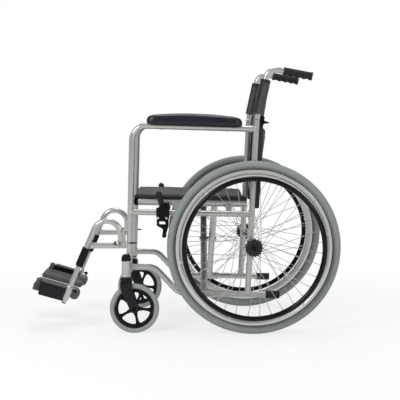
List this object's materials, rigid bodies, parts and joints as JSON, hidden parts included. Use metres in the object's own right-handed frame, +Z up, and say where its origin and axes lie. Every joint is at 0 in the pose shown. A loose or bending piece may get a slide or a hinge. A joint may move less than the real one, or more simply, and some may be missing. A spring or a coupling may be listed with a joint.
{
  "type": "folding wheelchair",
  "caption": "Self-propelled folding wheelchair with a cross brace, fixed arm rests, swing-away footrests and a half-folding back.",
  "frame": {"origin": "on the floor, at the middle of the chair's length and width", "axes": "+Z up, the chair faces -X, its left side is -Y"},
  "size_m": [1.0913, 0.658, 0.9381],
  "materials": {
    "frame_paint": "silver-grey metallic paint, satin",
    "tyre_grey": "grey-green solid tyre, matt",
    "caster_grey": "grey solid tyre, matt",
    "rim_silver": "satin anodised",
    "black_plastic": "moulded, fine grain",
    "black_metal": "black paint, satin",
    "bright_steel": "zinc plated",
    "charcoal_cloth": "charcoal woven upholstery",
    "pad_vinyl": "navy-black vinyl, soft sheen",
    "black_rubber": "ribbed grip rubber"
  },
  "bodies": {
    "left_side": {"side_frame_left": "frame_paint", "axle_left": "bright_steel", "caster_cap_left": "black_plastic", "arm_pad_left": "pad_vinyl", "brake_plate_left": "black_metal", "rubber_tip_left": "black_rubber", "back_lower": "charcoal_cloth"},
    "right_side": {"side_frame_right": "frame_paint", "axle_right": "bright_steel", "caster_cap_right": "black_plastic", "arm_pad_right": "pad_vinyl", "brake_plate_right": "black_metal", "rubber_tip_right": "black_rubber"},
    "front_brace": {"brace_front": "frame_paint", "pivot_bolt": "bright_steel", "rail_cap_right": "black_plastic"},
    "rear_brace": {"brace_rear": "frame_paint", "rail_cap_left": "black_plastic"},
    "seat": {"seat_sling": "charcoal_cloth"},
    "wheel_left": {"rear_tyre_left": "tyre_grey", "rear_rim_left": "rim_silver", "rear_hub_left": "black_metal", "handrim_left": "black_plastic"},
    "wheel_right": {"rear_tyre_right": "tyre_grey", "rear_rim_right": "rim_silver", "rear_hub_right": "black_metal", "handrim_right": "black_plastic"},
    "fork_left": {"caster_fork_left": "black_plastic", "caster_axle_left": "bright_steel"},
    "fork_right": {"caster_fork_right": "black_plastic", "caster_axle_right": "bright_steel"},
    "caster_left": {"caster_wheel_left": "black_plastic", "caster_tyre_left": "caster_grey"},
    "caster_right": {"caster_wheel_right": "black_plastic", "caster_tyre_right": "caster_grey"},
    "back_left": {"back_cane_left": "frame_paint", "push_grip_left": "black_rubber", "back_upper": "charcoal_cloth"},
    "back_right": {"back_cane_right": "frame_paint", "push_grip_right": "black_rubber"},
    "back_release_left": {"back_lever_left": "black_plastic"},
    "back_release_right": {"back_lever_right": "black_plastic"},
    "hanger_body_left": {"hanger_left": "frame_paint", "leg_sleeve_left": "black_plastic"},
    "hanger_body_right": {"hanger_right": "frame_paint", "leg_sleeve_right": "black_plastic"},
    "latch_left": {"hanger_latch_left": "black_metal"},
    "latch_right": {"hanger_latch_right": "black_metal"},
    "foot_left": {"foot_tube_left": "frame_paint", "foot_screw_left": "black_plastic", "hinge_block_left": "black_plastic"},
    "foot_right": {"foot_tube_right": "frame_paint", "foot_screw_right": "black_plastic", "hinge_block_right": "black_plastic"},
    "plate_left": {"footplate_left": "black_plastic"},
    "plate_right": {"footplate_right": "black_plastic"},
    "brake_handle_left": {"brake_lever_left": "black_plastic"},
    "brake_handle_right": {"brake_lever_right": "black_plastic"},
    "shoe_left": {"brake_shoe_left": "black_metal"},
    "shoe_right": {"brake_shoe_right": "black_metal"}
  },
  "joints": [
    {"name": "fold", "type": "hinge", "parent": "left_side", "child": "front_brace", "pos_m": [0.2407, -0.222, 0.131], "axis": [0.9998, 0, -0.0209], "range_deg": [0, 38.69], "deforming": ["seat_sling", "back_lower", "back_upper"]},
    {"name": "brace_cross", "type": "hinge", "parent": "front_brace", "child": "rear_brace", "pos_m": [0.0862, 0, 0.30583], "axis": [0.9998, 0, -0.0209], "range_deg": [-77.4, 0]},
    {"name": "right_side_hinge", "type": "hinge", "parent": "rear_brace", "child": "right_side", "pos_m": [0.2407, 0.222, 0.131], "axis": [0.9998, 0, -0.0209], "range_deg": [0, 38.7]},
    {"name": "seat_rise", "type": "slide", "parent": "left_side", "child": "seat", "axis": [0.0209, 0, 0.9998], "range_m": [0, 0.1887]},
    {"name": "wheel_spin_left", "type": "hinge", "parent": "left_side", "child": "wheel_left", "pos_m": [0.2407, -0.28, 0.305], "axis": [0, 1, 0], "continuous": true},
    {"name": "wheel_spin_right", "type": "hinge", "parent": "right_side", "child": "wheel_right", "pos_m": [0.2407, 0.28, 0.305], "axis": [0, 1, 0], "continuous": true},
    {"name": "caster_swivel_left", "type": "hinge", "parent": "left_side", "child": "fork_left", "pos_m": [-0.2083, -0.252, 0.2], "axis": [0, 0, 1], "continuous": true},
    {"name": "caster_swivel_right", "type": "hinge", "parent": "right_side", "child": "fork_right", "pos_m": [-0.2083, 0.252, 0.2], "axis": [0, 0, 1], "continuous": true},
    {"name": "caster_spin_left", "type": "hinge", "parent": "fork_left", "child": "caster_left", "pos_m": [-0.1797, -0.252, 0.0875], "axis": [0, 1, 0], "continuous": true},
    {"name": "caster_spin_right", "type": "hinge", "parent": "fork_right", "child": "caster_right", "pos_m": [-0.1797, 0.252, 0.0875], "axis": [0, 1, 0], "continuous": true},
    {"name": "hanger_swing_left", "type": "hinge", "parent": "left_side", "child": "hanger_body_left", "pos_m": [-0.2188, -0.222, 0.3415], "axis": [0, 0, 1], "range_deg": [0, 90]},
    {"name": "hanger_swing_right", "type": "hinge", "parent": "right_side", "child": "hanger_body_right", "pos_m": [-0.2188, 0.222, 0.3415], "axis": [0, 0, -1], "range_deg": [0, 90]},
    {"name": "hanger_latch_left_turn", "type": "hinge", "parent": "hanger_body_left", "child": "latch_left", "pos_m": [-0.2313, -0.2355, 0.3175], "axis": [0, 0, 1], "range_deg": [0, 15], "stiffness_Nm_per_rad": 0.05, "springref_deg": -8.59},
    {"name": "hanger_latch_right_turn", "type": "hinge", "parent": "hanger_body_right", "child": "latch_right", "pos_m": [-0.2313, 0.2355, 0.3175], "axis": [0, 0, -1], "range_deg": [0, 15], "stiffness_Nm_per_rad": 0.05, "springref_deg": -8.59},
    {"name": "foot_slide_left", "type": "slide", "parent": "hanger_body_left", "child": "foot_left", "axis": [-0.3923, 0, -0.9198], "range_m": [-0.035, 0.04]},
    {"name": "foot_slide_right", "type": "slide", "parent": "hanger_body_right", "child": "foot_right", "axis": [-0.3923, 0, -0.9198], "range_m": [-0.035, 0.04]},
    {"name": "footplate_flip_left", "type": "hinge", "parent": "foot_left", "child": "plate_left", "pos_m": [-0.4761, -0.2, 0.1704], "axis": [0.9613, 0, -0.2756], "range_deg": [0, 90.2]},
    {"name": "footplate_flip_right", "type": "hinge", "parent": "foot_right", "child": "plate_right", "pos_m": [-0.4761, 0.2, 0.1704], "axis": [-0.9613, 0, 0.2756], "range_deg": [0, 90.2]},
    {"name": "brake_left", "type": "hinge", "parent": "left_side", "child": "brake_handle_left", "pos_m": [-0.0793, -0.2385, 0.4435], "axis": [0, -1, 0], "range_deg": [0, 40]},
    {"name": "brake_right", "type": "hinge", "parent": "right_side", "child": "brake_handle_right", "pos_m": [-0.0793, 0.2385, 0.4435], "axis": [0, -1, 0], "range_deg": [0, 40]},
    {"name": "brake_shoe_left_turn", "type": "hinge", "parent": "left_side", "child": "shoe_left", "pos_m": [-0.0653, -0.2385, 0.4065], "axis": [0, -1, 0], "range_deg": [0, 2.5]},
    {"name": "brake_shoe_right_turn", "type": "hinge", "parent": "right_side", "child": "shoe_right", "pos_m": [-0.0653, 0.2385, 0.4065], "axis": [0, -1, 0], "range_deg": [0, 2.5]},
    {"name": "back_fold", "type": "hinge", "parent": "left_side", "child": "back_left", "pos_m": [0.27156, -0.222, 0.7572], "axis": [0, 1, 0], "range_deg": [0, 105]},
    {"name": "back_fold_right", "type": "hinge", "parent": "right_side", "child": "back_right", "pos_m": [0.27156, 0.222, 0.7572], "axis": [0, 1, 0], "range_deg": [0, 105]},
    {"name": "back_release_left_turn", "type": "hinge", "parent": "left_side", "child": "back_release_left", "pos_m": [0.27906, -0.222, 0.7437], "axis": [0, 1, 0], "range_deg": [0, 12], "stiffness_Nm_per_rad": 0.05, "springref_deg": -8.59},
    {"name": "back_release_right_turn", "type": "hinge", "parent": "right_side", "child": "back_release_right", "pos_m": [0.27906, 0.222, 0.7437], "axis": [0, 1, 0], "range_deg": [0, 12], "stiffness_Nm_per_rad": 0.05, "springref_deg": -8.59}
  ],
  "couplings": [
    {"joint": "brace_cross", "follows": "fold", "ratio": -2},
    {"joint": "right_side_hinge", "follows": "fold", "ratio": 1},
    {"joint": "seat_rise", "follows": "fold", "m_per_rad": 0.27924},
    {"joint": "footplate_flip_left", "follows": "fold", "ratio": 2.326},
    {"joint": "footplate_flip_right", "follows": "fold", "ratio": 2.326},
    {"joint": "brake_shoe_left_turn", "follows": "brake_left", "ratio": 0.06},
    {"joint": "brake_shoe_right_turn", "follows": "brake_right", "ratio": 0.06},
    {"joint": "back_fold_right", "follows": "back_fold", "ratio": 1}
  ]
}
